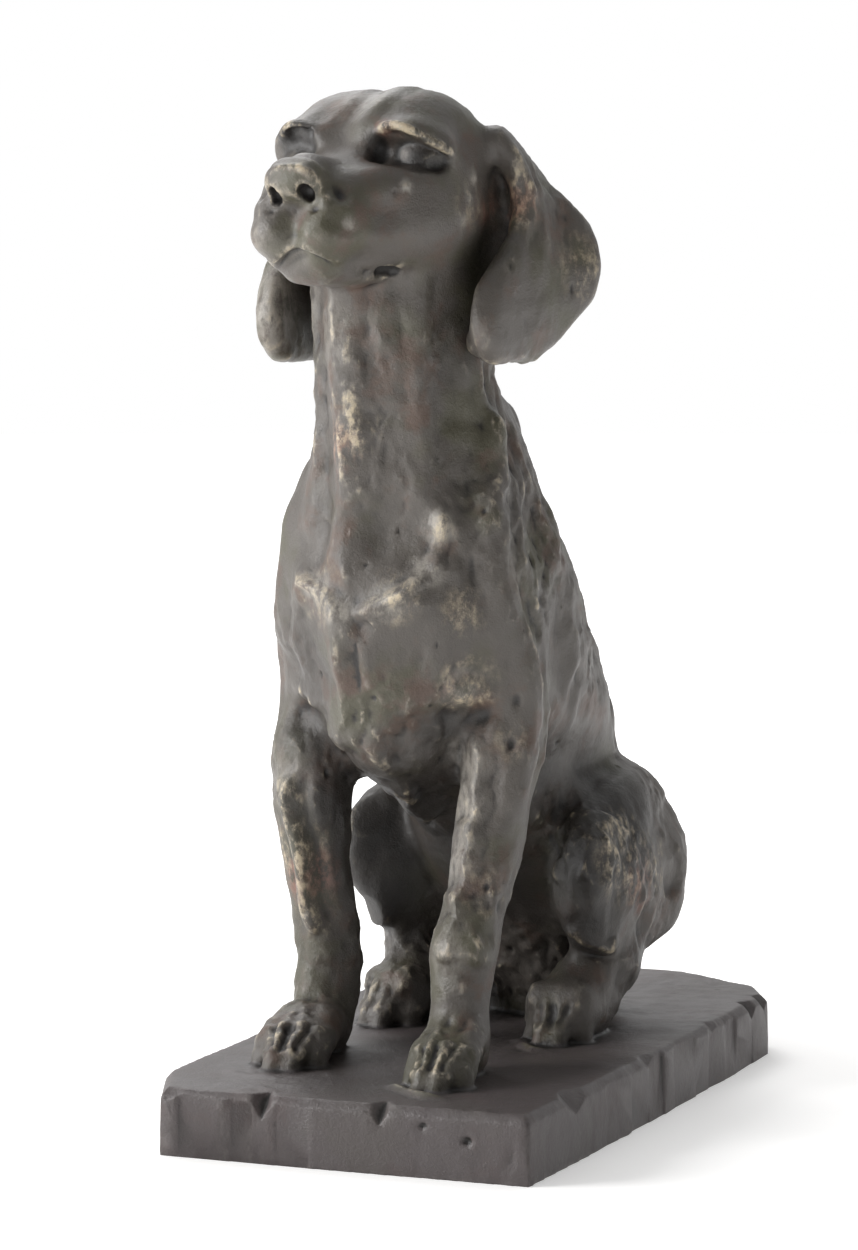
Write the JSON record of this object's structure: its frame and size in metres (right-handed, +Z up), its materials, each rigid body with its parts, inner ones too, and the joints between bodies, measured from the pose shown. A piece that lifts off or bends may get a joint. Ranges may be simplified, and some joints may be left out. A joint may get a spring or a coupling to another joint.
{
  "type": "seated dog statue",
  "caption": "Seated hound with long hanging ears, cast in one with a low uneven slab, in resin with a worn dark bronze patina; stands on its own underside.",
  "frame": {"origin": "centre of the slab's flat underside", "axes": "+Z up, -Y the way the dog faces along the slab's length, +X to the dog's left across the slab"},
  "size_m": [0.156, 0.3, 0.3723],
  "materials": {
    "patinated_resin": "cast resin, dark bronze patina worn to ochre on the high places, satin"
  },
  "bodies": {
    "root": {"hound_on_slab": "patinated_resin"}
  },
  "joints": []
}
